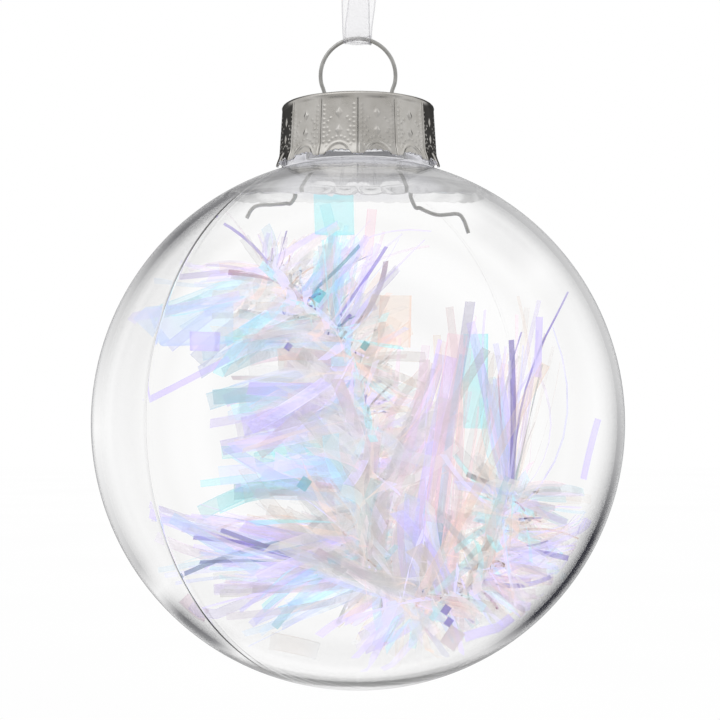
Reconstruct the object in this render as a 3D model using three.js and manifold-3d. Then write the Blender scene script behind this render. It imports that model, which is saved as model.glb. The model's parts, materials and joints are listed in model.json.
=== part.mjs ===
// Clear ball ornament, hung by a sheer ribbon loop and filled with a curved length of film tinsel.
// Millimetres, +Z up. The origin is on the ball's upright axis, level with its lowest point.
// +X is to the right and -Y is the front. Every piece is drawn about the ball's centre, in a group that is
// raised by the ball's radius.
import * as THREE from 'three';
import { mergeVertices } from 'three/addons/utils/BufferGeometryUtils.js';
import Module from 'manifold-3d';

const wasm = await Module();
wasm.setup();

// ---- driving dimensions, mm ----
const GAP = 0.3; // clearance left between neighbouring pieces

const BALL_RADIUS = 40;
const BALL_WALL = 1.1;
const BALL_SEGMENTS = 48;
const BALL_RINGS = 20;
const SEAM_ANGLE = THREE.MathUtils.degToRad(45); // the moulding seam's plane, turned from +X about Z
const SEAM_GAP = 0.1;

const NECK_RADIUS = 10.9;
const NECK_TOP = 47.4;
const BEAD_RADIUS = 11.5; // the ring moulded round the foot of the neck
const BEAD_TOP = 38.6;

const CAP_SHEET = 0.35;
const CAP_TOP_RADIUS = 11.65;
const CAP_WAIST_RADIUS = 12.1;
const CAP_HEM_RADIUS = 12.6;
const CAP_HEM_Z = BEAD_TOP + GAP;
const CAP_TOP_Z = 48.2;
const CAP_EDGE_ROUND = 1.1;
const CAP_WAIST_RISE = 1.7; // the skirt flares below this height above the hem
const CAP_PANELS = 12;
const CAP_CREASE_DEPTH = 0.18;
const SLOT_LENGTH = 1.7;
const SLOT_WIDTH = 1.1;
const SLOT_CUT_HEIGHT = 4; // of the blocks that cut the slots

const WIRE_RADIUS = 0.3;
const WIRE_SIDES = 8;
const RING_RADIUS = 5.7; // of the wire's centre line
const RING_CENTRE_Z = 52.9;
const RING_OPENING = THREE.MathUtils.degToRad(25); // below the ring's centre, where the wires leave it
const SLOT_X = 5;
const LEFT_WIRE_X = -4.9; // where the wires pass the cap
const RIGHT_WIRE_X = 5.2;
const RING_END_Z = 47.05; // the ring's wires end just inside the cap
const RING_STEPS = 48;
const RING_BENDS = 16; // places on the ring that its wire is led through
const LEG_STEPS = 22;
const WIRE_STRAIGHT = 0.9; // upright wire above the cap, before the ring's curve
const LEG_START_Z = 46.65;
const LEG_OFFSET_Y = 0.5; // the two legs lie in front of and behind each other, so they can cross

const RIBBON_WIDTH = 4.2;
const RIBBON_THICKNESS = 0.3;
const RIBBON_BIGHT_RADIUS = 1.0; // inside radius of the bend under the ring
const RIBBON_TOP_Z = 98;
const RIBBON_TOP_FLAT = 3;
const RIBBON_SPREAD = 3.2; // from the middle to each strand, at the top
const RIBBON_NARROW_RISE = 6; // above the ring's wire, where the strands begin to spread
const RIBBON_NARROW_LEAN = 0.3;
const RIBBON_SPREAD_DROP = 10; // below the top, where the strands are fully spread
const KNOT_HEIGHT = 3.4;
const KNOT_INSET = 0.4; // how much narrower the knot is than the ribbon
const KNOT_SUNK = 0.1; // how far the knot is sunk in the loop's top
const TAIL_LENGTH = 5;
const TAIL_LEAN = 0.35; // radians from upright
const TAIL_SUNK = 0.8; // how far the tails are sunk in the knot

const CORE_STRAND_RADIUS = 0.3;
const CORE_TWIST_RADIUS = 0.45; // from the garland's middle line to each thread's
const CORE_SIDES = 5;
const CORE_TURNS = 12;
const CORE_STEPS_A_TURN = 6;
const TUFT_COUNT = 8;
const TUFT_RADIUS = 5;
const TUFT_BORE = 1.5;
const TUFT_RINGS = 4;
const TUFT_SIDES = 12;
const GARLAND_BARE_END = 0.015; // share of the garland left bare at each end
const FILM_THICKNESS = 0.3;
const FILM_BOW_STEPS = 6;

// ---- colours and finishes ----
const PEARL = 0xe4e2f2;
const VIOLET = 0x9d86e0;
const AQUA = 0x86dfe6;
const PALE_BLUE = 0xb9d0f4;
const PINK = 0xf0c3dc;
const PEACH = 0xf6d6cf;

const clearPlastic = () => new THREE.MeshStandardMaterial({
  color: 0xf2f5f8, roughness: 0.05, metalness: 0, transparent: true, opacity: 0.25, flatShading: true,
});
const pressedMetal = () => new THREE.MeshStandardMaterial({ color: 0xa9a6a0, roughness: 0.22, metalness: 1 });
const wireMetal = () => new THREE.MeshStandardMaterial({ color: 0x9a9894, roughness: 0.25, metalness: 1 });
const organza = () => new THREE.MeshStandardMaterial({
  color: 0xf1eff2, roughness: 0.7, metalness: 0, transparent: true, opacity: 0.6,
});
const film = (color) => new THREE.MeshStandardMaterial({
  color, roughness: 0.12, metalness: 0.1, transparent: true, opacity: 0.7,
});
const thread = () => new THREE.MeshStandardMaterial({ color: 0xe6e6ea, roughness: 0.5, metalness: 0 });

// ---- helpers ----
const ornament = new THREE.Group();
const aboutCentre = new THREE.Group();
aboutCentre.position.z = BALL_RADIUS;
ornament.add(aboutCentre);

function addPiece(name, geometry, material) {
  const mesh = new THREE.Mesh(geometry, material);
  mesh.name = name;
  aboutCentre.add(mesh);
  return mesh;
}

// A closed geometry as a manifold-3d solid.
function toSolid(geometry) {
  const bare = geometry.clone();
  bare.deleteAttribute('normal');
  bare.deleteAttribute('uv');
  const merged = mergeVertices(bare, 1e-4);
  return new wasm.Manifold(new wasm.Mesh({
    numProp: 3,
    vertProperties: new Float32Array(merged.attributes.position.array),
    triVerts: new Uint32Array(merged.index.array),
  }));
}

function toGeometry(solid) {
  const mesh = solid.getMesh();
  const geometry = new THREE.BufferGeometry();
  geometry.setAttribute('position', new THREE.BufferAttribute(new Float32Array(mesh.vertProperties), 3));
  geometry.setIndex(new THREE.BufferAttribute(new Uint32Array(mesh.triVerts), 1));
  geometry.computeVertexNormals();
  return geometry;
}

// A profile of [radius, height] points, turned about Z.
function turned(profile, segments) {
  const geometry = new THREE.LatheGeometry(profile.map(([r, z]) => new THREE.Vector2(r, z)), segments);
  geometry.rotateX(Math.PI / 2);
  return geometry;
}

// Points along a circular arc in the profile plane, angles measured from the radius axis.
function arcPoints(centreR, centreZ, radius, from, to, count) {
  return Array.from({ length: count + 1 }, (_, i) => {
    const angle = from + (to - from) * i / count;
    return [centreR + radius * Math.cos(angle), centreZ + radius * Math.sin(angle)];
  });
}

function roundWire(points, radius, sides, steps) {
  const section = new THREE.Shape();
  for (let i = 0; i < sides; i += 1) {
    const angle = 2 * Math.PI * i / sides;
    const place = [radius * Math.cos(angle), radius * Math.sin(angle)];
    if (i === 0) section.moveTo(...place);
    else section.lineTo(...place);
  }
  section.closePath();
  const path = new THREE.CatmullRomCurve3(points, false, 'centripetal');
  return new THREE.ExtrudeGeometry(section, { steps, extrudePath: path, bevelEnabled: false });
}

// ---- the ball: two clear half shells, joined at an upright seam, each with half of the neck ----
function ballSolid() {
  const innerRadius = BALL_RADIUS - BALL_WALL;
  const neckInner = NECK_RADIUS - BALL_WALL;
  const beadSphereZ = Math.sqrt(BALL_RADIUS ** 2 - BEAD_RADIUS ** 2);
  const outerEnd = Math.asin(beadSphereZ / BALL_RADIUS);
  const innerEnd = Math.acos(neckInner / innerRadius);
  const outer = arcPoints(0, 0, BALL_RADIUS, -Math.PI / 2, outerEnd, BALL_RINGS);
  const inner = arcPoints(0, 0, innerRadius, innerEnd, -Math.PI / 2, BALL_RINGS);
  outer[0] = [0, -BALL_RADIUS];
  inner[inner.length - 1] = [0, -innerRadius];
  return toSolid(turned([
    ...outer,
    [BEAD_RADIUS, BEAD_TOP],
    [NECK_RADIUS, BEAD_TOP],
    [NECK_RADIUS, NECK_TOP],
    [neckInner, NECK_TOP],
    ...inner,
  ], BALL_SEGMENTS));
}

// A block that fills one side of the seam plane, used to keep the other side's half.
function seamSide(side) {
  const size = 4 * BALL_RADIUS;
  const block = new THREE.BoxGeometry(size, size, size);
  block.translate(0, side * (size - SEAM_GAP) / 2, 0);
  block.rotateZ(SEAM_ANGLE);
  return toSolid(block);
}

function addBall() {
  const ball = ballSolid();
  addPiece('shell_half_rear_left', toGeometry(ball.subtract(seamSide(-1))), clearPlastic());
  addPiece('shell_half_front_right', toGeometry(ball.subtract(seamSide(1))), clearPlastic());
}

// ---- the cap: thin pressed metal, a flat top and a pleated skirt that flares to its hem ----
function addCap() {
  const edge = arcPoints(
    CAP_TOP_RADIUS - CAP_EDGE_ROUND, CAP_TOP_Z - CAP_EDGE_ROUND, CAP_EDGE_ROUND, 0, Math.PI / 2, 4,
  );
  const waistZ = CAP_HEM_Z + CAP_WAIST_RISE;
  const insideTop = CAP_TOP_Z - CAP_SHEET;
  const lining = arcPoints(
    CAP_TOP_RADIUS - CAP_EDGE_ROUND, CAP_TOP_Z - CAP_EDGE_ROUND, CAP_EDGE_ROUND - CAP_SHEET,
    Math.PI / 2, 0, 4,
  );
  const profile = [
    [0, insideTop],
    ...lining,
    [CAP_WAIST_RADIUS - CAP_SHEET, waistZ],
    [CAP_HEM_RADIUS - CAP_SHEET, CAP_HEM_Z],
    [CAP_HEM_RADIUS, CAP_HEM_Z],
    [CAP_WAIST_RADIUS, waistZ],
    ...edge,
    [0, CAP_TOP_Z],
  ];
  const geometry = turned(profile, CAP_PANELS * 4);
  pleat(geometry);
  const slots = [-1, 1].map((side) => {
    const slot = new THREE.BoxGeometry(SLOT_LENGTH, SLOT_WIDTH, SLOT_CUT_HEIGHT);
    slot.translate(side * SLOT_X, 0, CAP_TOP_Z);
    return toSolid(slot);
  });
  const cap = toSolid(geometry).subtract(slots[0]).subtract(slots[1]);
  addPiece('cap', toGeometry(cap), pressedMetal());
}

// Draws the skirt in at the crease between each two panels, more towards the hem.
function pleat(geometry) {
  const place = geometry.attributes.position;
  const skirtHeight = CAP_TOP_Z - CAP_EDGE_ROUND - CAP_HEM_Z;
  for (let i = 0; i < place.count; i += 1) {
    const x = place.getX(i);
    const y = place.getY(i);
    const below = THREE.MathUtils.clamp((CAP_TOP_Z - CAP_EDGE_ROUND - place.getZ(i)) / skirtHeight, 0, 1);
    const crease = 0.5 + 0.5 * Math.cos(CAP_PANELS * Math.atan2(y, x));
    const radius = Math.hypot(x, y);
    const scale = radius > 0 ? (radius - CAP_CREASE_DEPTH * crease * below) / radius : 1;
    place.setXY(i, x * scale, y * scale);
  }
}

// ---- the wire hanger: a ring over the cap, and two sprung legs that spread inside the ball ----
function addHanger() {
  const ring = [[LEFT_WIRE_X, RING_END_Z], [LEFT_WIRE_X, CAP_TOP_Z + WIRE_STRAIGHT]];
  for (let i = 0; i <= RING_BENDS; i += 1) {
    const angle = Math.PI + RING_OPENING - (Math.PI + 2 * RING_OPENING) * i / RING_BENDS;
    ring.push([RING_RADIUS * Math.cos(angle), RING_CENTRE_Z + RING_RADIUS * Math.sin(angle)]);
  }
  ring.push([RIGHT_WIRE_X, CAP_TOP_Z + WIRE_STRAIGHT], [RIGHT_WIRE_X, RING_END_Z]);
  const ringPoints = ring.map(([x, z]) => new THREE.Vector3(x, 0, z));
  addPiece('hanger_ring', roundWire(ringPoints, WIRE_RADIUS, WIRE_SIDES, RING_STEPS), wireMetal());

  const rightLeg = [[RIGHT_WIRE_X, LEG_START_Z], [5.5, 43.5], [8.3, 34.2], [9.6, 33], [12.2, 32],
    [15.2, 32.2], [16.2, 31.2], [16.9, 29.2]];
  const leftLeg = [[LEFT_WIRE_X, LEG_START_Z], [-5.3, 43.5], [-9.6, 34.6], [-11.2, 33.6],
    [-15, 33.4], [-16.2, 32.8], [-17, 31.4]];
  addLeg('hanger_leg_right', rightLeg, LEG_OFFSET_Y);
  addLeg('hanger_leg_left', leftLeg, -LEG_OFFSET_Y);
}

function addLeg(name, outline, offset) {
  const points = outline.map(([x, z], i) => new THREE.Vector3(x, offset * Math.min(i, 1), z));
  addPiece(name, roundWire(points, WIRE_RADIUS, WIRE_SIDES, LEG_STEPS), wireMetal());
}

// ---- the ribbon: one closed loop through the ring, flat across its top, knotted above ----
function ribbonSide(inset) {
  // half of the loop's outline, in front of the ring, from the bight up to the flat top
  const bight = RIBBON_BIGHT_RADIUS + RIBBON_THICKNESS - inset;
  const ringTop = RING_CENTRE_Z + RING_RADIUS;
  const bend = arcPoints(0, ringTop, bight, -Math.PI / 2, 0, 6);
  const spread = RIBBON_SPREAD - inset;
  const topZ = RIBBON_TOP_Z + RIBBON_THICKNESS - inset;
  const corner = arcPoints(RIBBON_TOP_FLAT / 2, topZ - (spread - RIBBON_TOP_FLAT / 2),
    spread - RIBBON_TOP_FLAT / 2, 0, Math.PI / 2, 5);
  return [...bend, [bight + RIBBON_NARROW_LEAN, ringTop + RIBBON_NARROW_RISE],
    [spread, topZ - RIBBON_SPREAD_DROP], ...corner];
}

function loopShape(inset) {
  const half = ribbonSide(inset);
  const mirrored = half.slice(1).reverse().map(([y, z]) => [-y, z]);
  return [...half, ...mirrored].map(([y, z]) => new THREE.Vector2(y, z));
}

function addRibbon() {
  const outline = new THREE.Shape(loopShape(0));
  outline.holes.push(new THREE.Path(loopShape(RIBBON_THICKNESS)));
  const loop = new THREE.ExtrudeGeometry(outline, { depth: RIBBON_WIDTH, bevelEnabled: false });
  loop.translate(0, 0, -RIBBON_WIDTH / 2);
  standUp(loop);
  const loopTop = RIBBON_TOP_Z + RIBBON_THICKNESS;
  const knot = new THREE.BoxGeometry(RIBBON_WIDTH - KNOT_INSET, RIBBON_TOP_FLAT, KNOT_HEIGHT);
  knot.translate(0, 0, loopTop + KNOT_HEIGHT / 2 - KNOT_SUNK);
  let ribbon = toSolid(loop).add(toSolid(knot));
  for (const side of [-1, 1]) {
    const tail = new THREE.BoxGeometry(RIBBON_WIDTH, RIBBON_THICKNESS, TAIL_LENGTH);
    tail.translate(0, 0, TAIL_LENGTH / 2);
    tail.rotateX(side * TAIL_LEAN);
    tail.translate(0, 0, loopTop + KNOT_HEIGHT - TAIL_SUNK);
    ribbon = ribbon.add(toSolid(tail));
  }
  addPiece('ribbon_loop', toGeometry(ribbon), organza());
}

// Turns a shape drawn in (y, z) and extruded along its own third axis so that the extrusion runs along X.
function standUp(geometry) {
  geometry.applyMatrix4(new THREE.Matrix4().makeBasis(
    new THREE.Vector3(0, 1, 0), new THREE.Vector3(0, 0, 1), new THREE.Vector3(1, 0, 0),
  ));
}

// ---- the tinsel: film cut into fringe and gripped by two threads twisted together ----
const garlandPath = new THREE.CatmullRomCurve3([
  new THREE.Vector3(-17, 3, 23),
  new THREE.Vector3(-10, 0, 20),
  new THREE.Vector3(-3, -2, 13),
  new THREE.Vector3(1.5, -2, 3),
  new THREE.Vector3(1.5, 0, -9),
  new THREE.Vector3(0, 1, -20),
  new THREE.Vector3(7, 0, -27),
  new THREE.Vector3(16, 0, -25),
  new THREE.Vector3(22, 0, -17),
  new THREE.Vector3(22, -1, -7),
], false, 'centripetal');

// Two directions square to the garland at a place along it.
function garlandFrame(share) {
  const along = garlandPath.getTangentAt(share);
  const side = new THREE.Vector3(0, 1, 0).cross(along).normalize();
  return { centre: garlandPath.getPointAt(share), side, up: along.clone().cross(side) };
}

function coreStrand(phase) {
  const points = [];
  const count = CORE_TURNS * CORE_STEPS_A_TURN;
  for (let i = 0; i <= count; i += 1) {
    const { centre, side, up } = garlandFrame(i / count);
    const angle = phase + 2 * Math.PI * CORE_TURNS * i / count;
    points.push(centre
      .addScaledVector(side, CORE_TWIST_RADIUS * Math.cos(angle))
      .addScaledVector(up, CORE_TWIST_RADIUS * Math.sin(angle)));
  }
  return roundWire(points, CORE_STRAND_RADIUS, CORE_SIDES, count);
}

// One bunch of fringe as a plain sleeve round the core, from one share of the garland to another.
function tuftSleeve(from, to) {
  const rings = TUFT_RINGS;
  const sides = TUFT_SIDES;
  const positions = [];
  const index = [];
  for (let i = 0; i <= rings; i += 1) {
    const { centre, side, up } = garlandFrame(from + (to - from) * i / rings);
    for (const radius of [TUFT_RADIUS, TUFT_BORE]) {
      for (let k = 0; k < sides; k += 1) {
        const angle = 2 * Math.PI * k / sides;
        const place = centre.clone()
          .addScaledVector(side, radius * Math.cos(angle))
          .addScaledVector(up, radius * Math.sin(angle));
        positions.push(place.x, place.y, place.z);
      }
    }
  }
  const at = (ring, inner, k) => (ring * 2 + inner) * sides + (k % sides);
  const quad = (a, b, c, d) => index.push(a, b, c, a, c, d);
  for (let k = 0; k < sides; k += 1) {
    for (let i = 0; i < rings; i += 1) {
      quad(at(i, 0, k), at(i, 0, k + 1), at(i + 1, 0, k + 1), at(i + 1, 0, k));
      quad(at(i, 1, k + 1), at(i, 1, k), at(i + 1, 1, k), at(i + 1, 1, k + 1));
    }
    quad(at(0, 0, k + 1), at(0, 0, k), at(0, 1, k), at(0, 1, k + 1));
    quad(at(rings, 0, k), at(rings, 0, k + 1), at(rings, 1, k + 1), at(rings, 1, k));
  }
  const geometry = new THREE.BufferGeometry();
  geometry.setAttribute('position', new THREE.Float32BufferAttribute(positions, 3));
  geometry.setIndex(index);
  geometry.computeVertexNormals();
  return geometry;
}

function addGarland() {
  addPiece('tinsel_core_thread_a', coreStrand(0), thread());
  addPiece('tinsel_core_thread_b', coreStrand(Math.PI), thread());
  const share = (1 - 2 * GARLAND_BARE_END) / TUFT_COUNT;
  const gapShare = 2 * GAP / garlandPath.getLength();
  for (let i = 0; i < TUFT_COUNT; i += 1) {
    const from = GARLAND_BARE_END + i * share + gapShare / 2;
    const to = GARLAND_BARE_END + (i + 1) * share - gapShare / 2;
    addPiece(`tinsel_tuft_${i + 1}`, tuftSleeve(from, to), film(PEARL));
  }
}

// ---- wide film strips and plates, which stand clear of the garland's fringe ----
// A flat strip from one point to another, bowed along its face and turned about its length.
function filmStrip({ name, from, to, width, bow = 0, roll = 0, color }) {
  const start = new THREE.Vector3(...from);
  const end = new THREE.Vector3(...to);
  const along = end.clone().sub(start);
  const length = along.length();
  along.normalize();
  const face = new THREE.Vector3(0, -1, 0).addScaledVector(along, along.y).normalize();
  face.applyAxisAngle(along, THREE.MathUtils.degToRad(roll));
  const across = face.clone().cross(along);
  const geometry = new THREE.BoxGeometry(width, FILM_THICKNESS, length, 1, 1, bow ? FILM_BOW_STEPS : 1);
  const place = geometry.attributes.position;
  for (let i = 0; i < place.count; i += 1) {
    const s = 2 * place.getZ(i) / length;
    place.setY(i, place.getY(i) + bow * (1 - s * s));
  }
  geometry.applyMatrix4(new THREE.Matrix4().makeBasis(across, face, along));
  const centre = start.add(end).multiplyScalar(0.5);
  geometry.translate(centre.x, centre.y, centre.z);
  addPiece(name, geometry, film(color));
}

const filmStrips = [
  { name: 'film_strip_upper_left', from: [-33.5, -10, 15], to: [-17.2, -12, 18.6],
    width: 1.2, color: VIOLET },
  { name: 'film_plate_left', from: [-30, -14, 13.6], to: [-17.8, -15.5, 14.2],
    width: 5.6, color: PALE_BLUE },
  { name: 'film_chip_left', from: [-23.2, -19, 11.4], to: [-19.2, -19, 11.2],
    width: 2.6, color: VIOLET },
  { name: 'film_strip_left', from: [-30.5, -10, 3], to: [-18.8, -13, 9.4],
    width: 0.9, color: VIOLET },
  { name: 'film_plate_top', from: [-3.4, -5, 33.6], to: [-3.7, -5, 28.4],
    width: 5.6, color: AQUA },
  { name: 'film_strip_top', from: [2.2, 4.5, 33.5], to: [1.4, 5, 25.6],
    width: 1.5, color: PINK },
  { name: 'film_plate_centre', from: [5.6, -8.5, 18.6], to: [5.2, -8.5, 11.4],
    width: 4.8, color: PEACH },
  { name: 'film_strip_centre_right', from: [14.4, -11, 12.6], to: [10.8, -12, -14],
    width: 2.8, bow: 1.5, color: PINK },
  { name: 'film_strip_long_right', from: [8.6, -14, -24.5], to: [26.8, -12, 8],
    width: 1.5, bow: 2, color: PEACH },
  { name: 'film_plate_right', from: [18.7, 10, 14.4], to: [18.8, 10, -0.6],
    width: 4, color: AQUA },
  { name: 'film_strip_right', from: [26.6, -8, 15.6], to: [26.4, -8, 6.8],
    width: 1, color: VIOLET },
  { name: 'film_strip_far_right', from: [36.2, -3, 0.6], to: [33.9, -3, -8.2],
    width: 1, color: VIOLET },
  { name: 'film_strip_lower_right', from: [22.5, -12, -20.5], to: [34, -8, -14.2],
    width: 1.2, color: VIOLET },
  { name: 'film_chip_lower_right', from: [22, -10, -25.2], to: [25.6, -10, -24.6],
    width: 1.5, color: PEACH },
  { name: 'film_strip_bottom_right', from: [15.5, -13, -30.6], to: [22.4, -11, -28.6],
    width: 1.5, color: VIOLET },
  { name: 'film_strip_lower_left', from: [-26, -13, -13.2], to: [-14.8, -15, -21.2],
    width: 1.5, color: PALE_BLUE },
  { name: 'film_chip_lower_left', from: [-26, -7, -26.4], to: [-22.8, -8, -28.4],
    width: 2, color: VIOLET },
  { name: 'film_plate_bottom', from: [-12.2, -12, -31], to: [-6, -13, -32.6],
    width: 2.4, color: AQUA },
];

addBall();
addCap();
addHanger();
addRibbon();
addGarland();
filmStrips.forEach(filmStrip);

export default ornament;
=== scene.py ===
"""The looks of a clear ball ornament with film tinsel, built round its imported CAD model.

Blender works in metres. Lengths in this script are in millimetres about the ball's centre, with +Z up
and the front towards -Y, and to_mesh() turns them into metres in the model's frame.
"""

import json
import math
import random

import bpy
from mathutils import Matrix, Vector, noise


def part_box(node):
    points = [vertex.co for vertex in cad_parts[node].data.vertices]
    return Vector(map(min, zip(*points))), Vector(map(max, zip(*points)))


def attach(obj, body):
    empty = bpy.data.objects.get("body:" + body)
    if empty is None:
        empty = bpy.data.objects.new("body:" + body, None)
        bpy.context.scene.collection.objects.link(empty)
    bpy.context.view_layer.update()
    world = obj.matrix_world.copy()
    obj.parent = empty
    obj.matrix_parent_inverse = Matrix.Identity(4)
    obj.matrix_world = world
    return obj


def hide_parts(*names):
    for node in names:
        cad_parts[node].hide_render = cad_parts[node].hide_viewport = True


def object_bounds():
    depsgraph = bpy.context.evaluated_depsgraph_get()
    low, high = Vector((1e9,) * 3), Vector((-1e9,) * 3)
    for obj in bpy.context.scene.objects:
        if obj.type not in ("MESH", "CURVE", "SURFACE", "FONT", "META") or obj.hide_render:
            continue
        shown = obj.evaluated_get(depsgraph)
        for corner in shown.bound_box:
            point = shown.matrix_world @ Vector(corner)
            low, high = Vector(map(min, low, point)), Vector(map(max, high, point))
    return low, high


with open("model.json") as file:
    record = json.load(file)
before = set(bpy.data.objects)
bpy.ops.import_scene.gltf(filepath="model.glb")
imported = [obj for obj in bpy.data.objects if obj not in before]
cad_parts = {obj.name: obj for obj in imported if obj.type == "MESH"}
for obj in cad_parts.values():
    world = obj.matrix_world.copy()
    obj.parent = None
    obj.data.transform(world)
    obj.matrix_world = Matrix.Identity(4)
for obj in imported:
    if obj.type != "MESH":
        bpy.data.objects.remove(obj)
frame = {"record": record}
cad_low, cad_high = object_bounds()

MM = 0.001
TAU = 2 * math.pi
BALL_RADIUS = (cad_high.x - cad_low.x) / 2 / MM
CENTRE = Vector((0, 0, BALL_RADIUS * MM))


def box_mm(node):
    """A CAD node's lowest and highest corners, in millimetres about the ball's centre."""
    low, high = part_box(node)
    return (low - CENTRE) / MM, (high - CENTRE) / MM


record = frame["record"]
BODY_OF = {node: body for body, nodes in record["behaviour"]["bodies"].items() for node in nodes}

shell_top = box_mm("shell_half_front_right")[1].z
cap_low, cap_high = box_mm("cap")
ring_low, ring_high = box_mm("hanger_ring")
ribbon_low, ribbon_high = box_mm("ribbon_loop")

WALL = 1.1
SEAM_ANGLE = math.radians(45)
NECK_RADIUS = 10.9
BEAD_RADIUS = 11.5
INNER_RADIUS = BALL_RADIUS - WALL
WIRE_RADIUS = (ring_high.y - ring_low.y) / 2


# ---------------------------------------------------------------- mesh helpers

def strip_places(points):
    """The "across" value of each point of a mesh made only of strips: 0 on one edge and 1 on the other."""
    return [0.0, 1.0, 1.0, 0.0] * (len(points) // 4)


def to_mesh(name, points, faces, attributes=None, smooth_angle=40):
    """A new object from points in millimetres about the ball's centre."""
    mesh = bpy.data.meshes.new(name)
    mesh.from_pydata([Vector(p) * MM + CENTRE for p in points], [], faces)
    mesh.validate()
    mesh.shade_smooth()
    mesh.set_sharp_from_angle(angle=math.radians(smooth_angle))
    for key, values in (attributes or {}).items():
        mesh.attributes.new(key, "FLOAT", "POINT").data.foreach_set("value", values)
    piece = bpy.data.objects.new(name, mesh)
    bpy.context.scene.collection.objects.link(piece)
    return piece


def place(piece, material, node):
    """Gives a finished piece its material and the CAD node it stands for, with that node's body."""
    piece.data.materials.clear()
    piece.data.materials.append(material)
    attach(piece, BODY_OF[node])
    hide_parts(node)


def thicken(piece, thickness, offset):
    """Gives an open sheet a thickness, to both sides for an offset of 0 and inwards for -1."""
    sheet = piece.modifiers.new("sheet", "SOLIDIFY")
    sheet.thickness = thickness * MM
    sheet.offset = offset
    bpy.context.view_layer.update()
    evaluated = piece.evaluated_get(bpy.context.evaluated_depsgraph_get())
    mesh = bpy.data.meshes.new_from_object(evaluated)
    piece.modifiers.clear()
    piece.data = mesh


def spline(points, count):
    """Evenly numbered points on a smooth curve through the given ones."""
    points = [Vector(p) for p in points]
    padded = [2 * points[0] - points[1], *points, 2 * points[-1] - points[-2]]
    spans = len(points) - 1
    out = []
    for i in range(count):
        s = spans * i / (count - 1)
        k = min(int(s), spans - 1)
        t = s - k
        a, b, c, d = padded[k:k + 4]
        out.append(0.5 * (2 * b + (c - a) * t + (2 * a - 5 * b + 4 * c - d) * t * t
                          + (3 * b - a - 3 * c + d) * t ** 3))
    return out


def tangents(path):
    """The way each point of a path heads."""
    last = len(path) - 1
    return [(path[min(i + 1, last)] - path[max(i - 1, 0)]).normalized() for i in range(last + 1)]


def join_rings(start, rings, sides, faces):
    """Adds the faces of a closed tube, whose rings of points begin at start."""
    for i in range(rings - 1):
        for k in range(sides):
            a = start + i * sides + k
            b = start + i * sides + (k + 1) % sides
            faces.append((a, b, b + sides, a + sides))
    faces.append(tuple(start + k for k in reversed(range(sides))))
    faces.append(tuple(start + (rings - 1) * sides + k for k in range(sides)))


def tube(path, radius, sides, points, faces):
    """Adds a closed round tube along a path to a mesh in the making."""
    start = len(points)
    along = tangents(path)
    side = along[0].orthogonal().normalized()
    for centre, forward in zip(path, along):
        side = (side - forward * side.dot(forward)).normalized()
        up = forward.cross(side)
        for k in range(sides):
            angle = TAU * k / sides
            points.append(centre + radius * (math.cos(angle) * side + math.sin(angle) * up))
    join_rings(start, len(path), sides, faces)


def strip(path, facing, width, thickness, points, faces, twist=0.0):
    """Adds a thin flat strip along a path to a mesh in the making. Facing is the way its face looks."""
    start = len(points)
    for i, (centre, forward) in enumerate(zip(path, tangents(path))):
        across = forward.cross(facing)
        if across.length < 1e-4:
            across = forward.orthogonal()
        across = Matrix.Rotation(twist * i / (len(path) - 1), 3, forward) @ across.normalized()
        normal = across.cross(forward) * thickness / 2
        half = across * width / 2
        points.extend([centre - half - normal, centre + half - normal, centre + half + normal,
                       centre - half + normal])
    join_rings(start, len(path), 4, faces)


def arc(radius, angle):
    """A point on a circle, as two numbers."""
    return radius * math.cos(angle), radius * math.sin(angle)


def smoothstep(low, high, value):
    """0 at low and 1 at high, with soft ends. Low may be the larger."""
    t = min(max((value - low) / (high - low), 0), 1)
    return t * t * (3 - 2 * t)


# ---------------------------------------------------------------- material helpers

def new_material(name):
    """A material without nodes, and its tree."""
    material = bpy.data.materials.new(name)
    material.use_nodes = True
    material.node_tree.nodes.clear()
    return material, material.node_tree


def add(tree, kind, settings=None, **inputs):
    """A shader node. An input goes by its name, with _ for a space, or by i and its number.

    It takes a value or another node's socket.
    """
    made = tree.nodes.new("ShaderNode" + kind)
    for key, value in (settings or {}).items():
        setattr(made, key, value)
    for key, value in inputs.items():
        numbered = key[0] == "i" and key[1:].isdigit()
        socket = made.inputs[int(key[1:]) if numbered else key.replace("_", " ")]
        if isinstance(value, bpy.types.NodeSocket):
            tree.links.new(value, socket)
        else:
            socket.default_value = value
    return made


def maths(tree, operation, *values, clamp=False):
    made = add(tree, "Math", {"operation": operation, "use_clamp": clamp},
               **{f"i{i}": v for i, v in enumerate(values)})
    return made.outputs[0]


def remap(tree, value, low, high, to_low=0.0, to_high=1.0, smooth=True):
    """Moves a value from one range to another and holds it within the second."""
    kind = "SMOOTHSTEP" if smooth else "LINEAR"
    return add(tree, "MapRange", {"interpolation_type": kind}, Value=value, From_Min=low, From_Max=high,
               To_Min=to_low, To_Max=to_high).outputs["Result"]


def ramp(tree, factor, stops):
    """A colour ramp from a list of (place, colour), where a single number stands for a grey."""
    made = add(tree, "ValToRGB", Fac=factor)
    band = made.color_ramp
    while len(band.elements) < len(stops):
        band.elements.new(0.5)
    for element, (position, colour) in zip(band.elements, stops):
        element.position = position
        element.color = (*colour, 1) if isinstance(colour, tuple) else (colour, colour, colour, 1)
    return made.outputs["Color"]


def mix(tree, share, first, second):
    """Two colours mixed, each a tuple or a socket."""
    first, second = ((*colour, 1) if isinstance(colour, tuple) else colour for colour in (first, second))
    return add(tree, "MixRGB", Fac=share, Color1=first, Color2=second).outputs[0]


def mix_shaders(tree, share, first, second):
    return add(tree, "MixShader", i0=share, i1=first.outputs[0], i2=second.outputs[0])


def attribute(tree, name):
    return add(tree, "Attribute", {"attribute_name": name}).outputs["Fac"]


def own_place(tree):
    """Where a point lies in its own object, in metres."""
    return add(tree, "TexCoord").outputs["Object"]


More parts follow.
